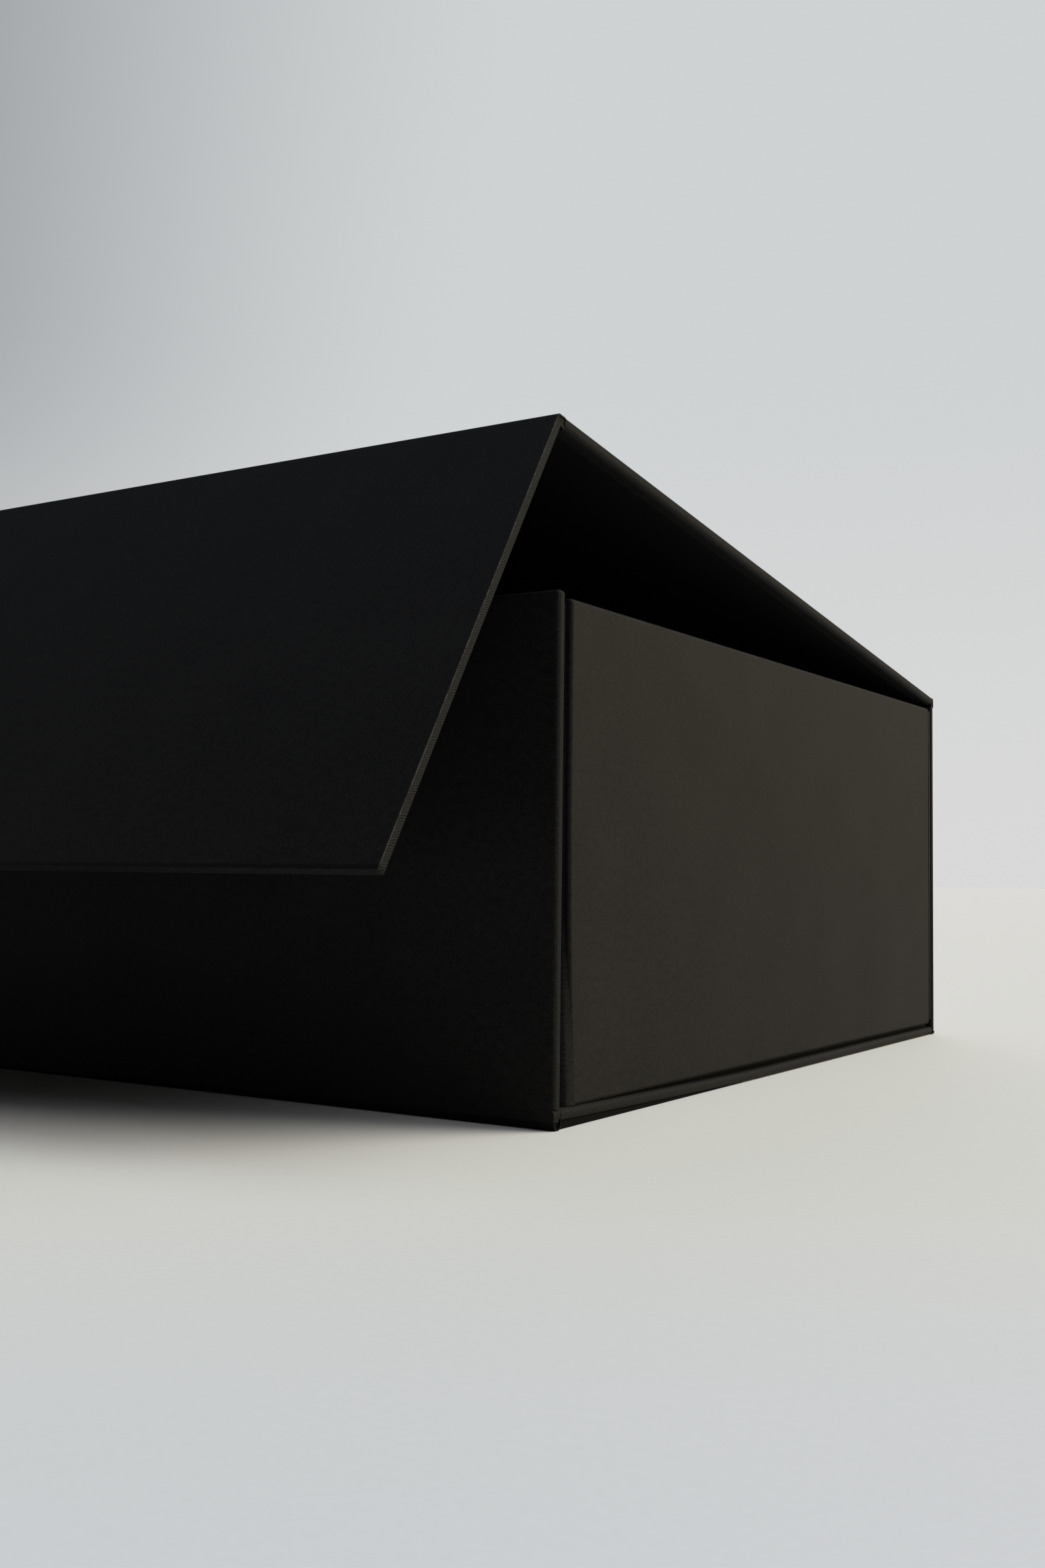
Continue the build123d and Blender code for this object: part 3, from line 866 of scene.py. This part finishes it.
# %% A finish and its nodes
class Finish:
    """A material, or the world, and the one method that adds its nodes."""

    def __init__(self, name, shelf=bpy.data.materials):
        self.holder = shelf.new(name)
        self.holder.use_nodes = True
        self.tree = self.holder.node_tree
        self.shader = self.tree.nodes.get("Principled BSDF")

    def node(self, kind, settings=None, inputs=None, out=0):
        node = self.tree.nodes.new(kind)
        for key, value in (settings or {}).items():
            setattr(node, key, value)
        for key, value in (inputs or {}).items():
            self.plug(node.inputs[key], value)
        return Amount(self, node.outputs[out])

    def plug(self, socket, value):
        if isinstance(value, Amount):
            self.tree.links.new(value.socket, socket)
        else:
            socket.default_value = value

    def set(self, **sockets):
        """Sets or links the shader's own sockets, named with underscores for spaces."""
        for key, value in sockets.items():
            self.plug(self.shader.inputs[key.replace("_", " ")], value)

    def axis(self, place, number):
        """One of the three parts of a place."""
        return self.node("ShaderNodeSeparateXYZ", None, {0: place}, out=number)

    def noise(self, place, scale, detail=3.0, roughness=0.5):
        settings = {"Vector": place, "Scale": scale, "Detail": detail, "Roughness": roughness}
        return self.node("ShaderNodeTexNoise", None, settings)

    def blend(self, factor, first, second):
        """Mixes two colours."""
        colours = {0: factor, 6: first, 7: second}
        return self.node("ShaderNodeMix", {"data_type": "RGBA"}, colours, out=2)

    def bump(self, height, distance):
        """A tooth of this height pattern, whose full height is a distance in metres."""
        inputs = {"Strength": 1.0, "Distance": distance, "Height": height}
        return self.node("ShaderNodeBump", None, inputs)

# %% [markdown]
# ## Black book paper
# The outer paper is dyed through, uncoated and felt-marked: fine slanting ribs less than half a
# millimetre apart, steep in some patches and shallow in others, broken up by the fibres. It is
# nearly black straight on and shows a soft sheen at a low angle. A few pale fibres and specks sit
# on it. Where it rolls over an edge it is creased across in fine ticks, and the arris itself is
# rubbed pale in places. All of that is too fine to model, so it is waves and noise in the colour
# and the bump, laid out on the sheet map.

# %% Specks
def speck(finish, place, scale, size, share):
    """Small round dots in a share of the cells of a cell pattern."""
    cells = {"Vector": place, "Scale": scale, "Randomness": 1.0}
    near = finish.node("ShaderNodeTexVoronoi", {"feature": "F1"}, cells)
    tint = finish.node("ShaderNodeTexVoronoi", {"feature": "F1"}, cells, out=1)
    chosen = finish.node("ShaderNodeSeparateColor", None, {0: tint}) > 1 - share
    return chosen * (1 - near.rise(size * 0.5, size))


def line(distance, half_width, soft):
    """A line where a distance is 0, with this half width and then a soft side."""
    return 1 - abs(distance).rise(half_width, half_width + soft)

# %% Colours and spacings of the outer paper
DARK_PAPER, LIGHT_PAPER = (0.0045, 0.0045, 0.0047, 1), (0.0205, 0.0200, 0.0195, 1)
RUBBED, SPECKLED = (0.085, 0.082, 0.076, 1), (0.10, 0.098, 0.09, 1)
# The crease colour is painted shade, for the dark line before a free end. The mitre is a dark seam.
MITRE, CREASE_SHADE = (0.002, 0.002, 0.002, 1), (0.003, 0.003, 0.003, 1)
RIB_SPACING = (0.00044, 0.00050)  # from rib to rib, where they are steep and where shallow
TICK_SPACING = 0.00052
print("From rib to rib, steep and shallow, in mm:", mm(*RIB_SPACING))

# %% Outer paper
def outer_paper(
    name, half_width, length=None, free_near=False, free_far=False,
    ribbed=1.0, cloudy=1.0, worn=0.5, crease_shade=0.0, tone=0.5,
):
    """Paper on a wrapped board of this half width, and of this length if its far end is free.

    Ribbed, cloudy and worn set how much shows of the ribs, the mottle and the rubbed arris along
    the sides. The crease share paints a dark line of shade before a free end, where the edge turns
    away from the light. Tone runs from the dark paper, 0, to the light, 1.
    """
    finish = Finish(name)
    sheet = finish.node("ShaderNodeUVMap", {"uv_map": "sheet"})
    u, v = finish.axis(sheet, 0), finish.axis(sheet, 1)
    inside = v > 0.6 * INSIDE
    v = v - inside * INSIDE
    side_edge = half_width - abs(u)
    end_edge = (v if free_near else v + 1).smaller(length - v if free_far else 1)
    edge = side_edge.smaller(end_edge)

    clouds = finish.noise(sheet, 45.0, 4.0) - 0.5
    mottle = finish.noise(sheet, 620.0, 3.0, 0.6) - 0.5
    fibres = finish.noise(sheet, 2600.0, 2.0, 0.6) - 0.5
    patches = finish.noise(sheet, 230.0, 2.0).rise(0.42, 0.58)
    wander = finish.noise(sheet, 700.0, 2.0) * 7.0
    steep = ((u * 0.85 - v * 0.53) * (2 * pi / RIB_SPACING[0]) + wander).wave()
    shallow = ((u * 0.50 + v * 0.86) * (2 * pi / RIB_SPACING[1]) + wander).wave()
    ribs = steep * (0.25 + patches * 0.75) + shallow * (0.75 - patches * 0.6)
    ticks = ((v + u * 0.7) * (2 * pi / TICK_SPACING) + wander * 1.4).wave() * (edge < -0.0001)
    dots = speck(finish, sheet, 420.0, 0.035, 0.3)
    patchy = finish.noise(sheet, 900.0, 3.0, 0.7).rise(0.40, 0.62)
    arris = line(side_edge + 0.00005, 0.00006, 0.0002) * (0.25 + patchy * 0.75)

    shade = tone + (clouds * 0.35 + mottle * 0.9) * cloudy + fibres * 1.5
    shade = shade + ribs * (0.28 * ribbed) + ticks * 0.30
    colour = finish.blend(shade.larger(0.0).smaller(1.0), DARK_PAPER, LIGHT_PAPER)
    colour = finish.blend(arris * worn, colour, RUBBED)
    colour = finish.blend(dots * 0.7, colour, SPECKLED)
    if free_near or free_far:
        mitre = line(side_edge - end_edge, 0.0001, 0.0002) * inside * (edge < TURN_IN)
        colour = finish.blend(mitre * 0.8, colour, MITRE)
        # Painted shade: a dark line on the outer face just before a free end, where the edge rounds
        # away.
        crease = line(end_edge - 0.0005, 0.0002, 0.0004) * (1 - inside)
        colour = finish.blend(crease * crease_shade, colour, CREASE_SHADE)
    height = ribs * (0.5 * ribbed) + ticks * 1.2 + fibres * 1.6 + mottle * 1.2 + dots * 0.8
    roughness = 0.58 + mottle * 0.2 - arris * 0.08
    finish.set(Base_Color=colour, Roughness=roughness, Normal=finish.bump(height, 0.00002))
    finish.set(Specular_IOR_Level=0.03)
    return finish.holder


def dress(piece, material):
    """Gives a piece its one material."""
    piece.data.materials.clear()
    piece.data.materials.append(material)

# %% Dressing the panels
panels = (
    (front, dict(free_near=True, ribbed=0.6, worn=0.25)),
    (back, dict(ribbed=0.6, worn=0.25)),
    (lid, dict(worn=0.5)),
    # The flap's crease share paints shade before its free end.
    (flap, dict(length=flap_length, free_far=True, worn=0.8, crease_shade=0.6)),
    (base, dict(ribbed=0.4, worn=0.2)),
)
for panel, looks in panels:
    dress(panel, outer_paper(panel.name, HALF_W, **looks))
side_finish = outer_paper(
    "side_paper", side_length / 2, side_height,
    free_near=True, free_far=True, ribbed=0.25, cloudy=1.3, worn=0.15,
)
dress(right_side, side_finish)
dress(left_side, side_finish)
print("Papered", len(panels) + 2, "panels")

# %% Dressing the folds
fold_finish = outer_paper("fold_paper", HALF_W, ribbed=0.4, worn=0.0)
for fold in (ridge, back_fold, right_web, left_web):
    dress(fold, fold_finish)
# The bead and the fold tabs get a darker copy of the outer paper: painted shade, since they lie out
# of the light.
shaded_fold_finish = outer_paper("slack_fold_painted_shade", HALF_W, ribbed=0.2, cloudy=0.4, worn=0.0, tone=0.08)
for fold in (front_fold, *tabs):
    dress(fold, shaded_fold_finish)
print("Papered", 5 + len(tabs), "folds and tabs")

# %% [markdown]
# ## The hidden sheets
# The measured pieces that show as they are keep their shapes and get their own finishes: a smoother
# lining paper, greyboard, tape, and the plated steel of the closure. The sheet under the base and
# the bead's tabs get a near-black finish, which is painted shade for where they lie out of the
# light.

# %% A plain grained sheet
def grained(name, dark, light, scale, roughness, distance, metallic=0.0, shine=0.35):
    """A plain sheet: two close tones, a fine tooth and a little unevenness in its sheen."""
    finish = Finish(name)
    place = finish.node("ShaderNodeTexCoord", out=3)
    coarse = finish.noise(place, scale * 0.08, 3.0)
    fine = finish.noise(place, scale, 3.0, 0.6)
    colour = finish.blend((coarse * 0.6 + fine * 0.5).smaller(1.0), (*dark, 1), (*light, 1))
    tooth = finish.bump(fine + coarse * 1.5, distance)
    finish.set(Base_Color=colour, Roughness=roughness - 0.04 + fine * 0.1, Normal=tooth)
    finish.set(Metallic=metallic, Specular_IOR_Level=shine)
    return finish.holder

# %% Lining, board, tape and steel
lining = grained(
    "lining_paper", (0.0020, 0.0020, 0.0021), (0.0042, 0.0040, 0.0039), 2200.0, 0.6, 0.00001,
    shine=0.12,
)
fold_plain = grained(
    "plain_fold_paper", (0.0065, 0.0065, 0.0068), (0.0135, 0.013, 0.0125), 1800.0, 0.55, 0.000012
)
greyboard = grained("greyboard", (0.17, 0.16, 0.145), (0.30, 0.285, 0.26), 900.0, 0.9, 0.00004)
tape = grained("tape", (0.55, 0.53, 0.47), (0.68, 0.66, 0.6), 1500.0, 0.4, 0.000004)
steel = grained(
    "plated_steel", (0.52, 0.53, 0.55), (0.63, 0.64, 0.66), 1200.0, 0.3, 0.000002, metallic=1.0
)
# Near-black paper: painted shade for the sheet under the base and for the bead's tabs.
shade_paper = grained(
    "painted_shade_paper", (0.0008, 0.0008, 0.0009), (0.0020, 0.0019, 0.0018), 1500.0, 0.7, 0.00002,
    shine=0.03,
)
dress(base_lining, lining)
for paper in (shade_wedge, *bead_tabs):
    dress(paper, shade_paper)

# %% Finishes for the measured pieces
finishes = {"liner": lining, "board": greyboard, "tape": tape, "disc": steel, "magnet": steel}
for name, node in frame["nodes"].items():
    chosen = next((paper for word, paper in finishes.items() if word in name), fold_plain)
    for slot in range(len(node.data.materials)):
        node.data.materials[slot] = chosen
print("Finished", len(frame["nodes"]), "measured pieces")

# %% [markdown]
# ## Floor
# A sheet of pale matt paper. Its colour is painted a shade cooler close to the camera, as a painted
# reflection: there it would reflect less of the warm wall.

# %% Floor
COOL_NEARER, WARM_BEYOND = 0.11, 0.24  # metres from the camera, along the view
bpy.ops.object.select_all(action="DESELECT")
bpy.ops.mesh.primitive_plane_add(size=24, location=(0, 0, 0))
floor = bpy.context.object
floor.name = "floor"
floor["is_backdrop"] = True
floor_finish = Finish("floor")
ground = floor_finish.node("ShaderNodeTexCoord", out=3)
tooth = floor_finish.noise(ground, 700.0, 3.0)
sideways = floor_finish.axis(ground, 0) - CAMERA_PLACE[0]
forwards = floor_finish.axis(ground, 1) - CAMERA_PLACE[1]
from_camera = forwards * cos(radians(YAW)) - sideways * sin(radians(YAW))
# Painted reflection: the floor's colour is cooler near the camera and warmer further off.
warm = floor_finish.blend(tooth, (0.76, 0.765, 0.765, 1), (0.80, 0.80, 0.795, 1))
cool = floor_finish.blend(tooth, (0.73, 0.752, 0.806, 1), (0.768, 0.79, 0.848, 1))
floor_colour = floor_finish.blend(from_camera.rise(COOL_NEARER, WARM_BEYOND), cool, warm)
floor_finish.set(Base_Color=floor_colour, Roughness=0.95, Specular_IOR_Level=0.1)
dress(floor, floor_finish.holder)
print("Floor", mm(*floor.dimensions)[:2], "mm")

# %% [markdown]
# ## Light
# Soft light comes from behind and above, warm where it is low. So broad a light has no one lamp: it
# is six distant ones, each spread over 45 degrees, that stand for the window, the sky and the wall.
# The room itself is seen behind the box and in its sheen, but lights nothing.

# %% Lamps
SPREAD = 45
LAMPS = (  # name, degrees round from +X, degrees up, strength, colour
    ("window_low", 40, 12, 0.78, (1.0, 0.775, 0.40)),
    ("window_middle", 40, 38, 0.42, (0.89, 0.96, 1.0)),
    ("window_high", 60, 65, 0.23, (0.90, 1.0, 0.99)),
    ("sky_right", 0, 65, 0.176, (1.0, 0.96, 0.96)),
    ("sky_left", 180, 65, 0.065, (0.57, 0.72, 1.0)),
    ("wall_behind", 120, 12, 0.32, (1.0, 0.88, 0.93)),
)
for name, azimuth, height, strength, colour in LAMPS:
    lamp = bpy.data.lights.new(name, "SUN")
    lamp.energy, lamp.color, lamp.angle = strength * pi, colour, radians(SPREAD)
    holder = bpy.data.objects.new(name, lamp)
    bpy.context.scene.collection.objects.link(holder)
    a, h = radians(azimuth), radians(height)
    towards = Vector((cos(a) * cos(h), sin(a) * cos(h), sin(h)))
    holder.rotation_euler = towards.to_track_quat("Z", "Y").to_euler()
print("Lamps:", [lamp[0] for lamp in LAMPS])

# %% The room behind
BRIGHT_WALL, DIM_WALL = (0.625, 0.645, 0.652, 1), (0.155, 0.175, 0.195, 1)
HORIZON, UNLIT = (0.69, 0.69, 0.69, 1), (0.9, 0.95, 1.0, 1)
room = Finish("room", bpy.data.worlds)
way = room.node("ShaderNodeTexCoord", out=0)
to_the_right = {0: way, 1: aim.to_3x3().col[0]}
rightwards = room.node("ShaderNodeVectorMath", {"operation": "DOT_PRODUCT"}, to_the_right, out=1)
upwards = room.axis(way, 2)
fall = (upwards * 0.25 - rightwards).rise(0.1, 0.7)
wall = room.blend(fall, BRIGHT_WALL, DIM_WALL)
wall = room.blend(upwards.rise(0.0, 0.34), HORIZON, wall)
seen = room.node("ShaderNodeBackground", None, {"Color": wall, "Strength": 1.0})
unseen = room.node("ShaderNodeBackground", None, {"Color": UNLIT, "Strength": 0.0})
shows = room.node("ShaderNodeLightPath", out="Is Camera Ray")
for ray in ("Is Glossy Ray", "Is Transmission Ray"):
    shows = shows.larger(room.node("ShaderNodeLightPath", out=ray))
mixed = room.node("ShaderNodeMixShader", None, {0: shows, 1: unseen, 2: seen})
room.plug(room.tree.nodes["World Output"].inputs["Surface"], mixed)
bpy.context.scene.world = room.holder
bpy.context.scene.view_settings.view_transform = "Standard"
print("The room has", len(room.tree.nodes), "nodes")

# %% [markdown]
# ## The dressed size
# The size of what is dressed is printed, as the measured size was at the start.

# %% Finish
final_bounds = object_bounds()
print("Dressed size, in mm:", [mm(*corner) for corner in final_bounds])
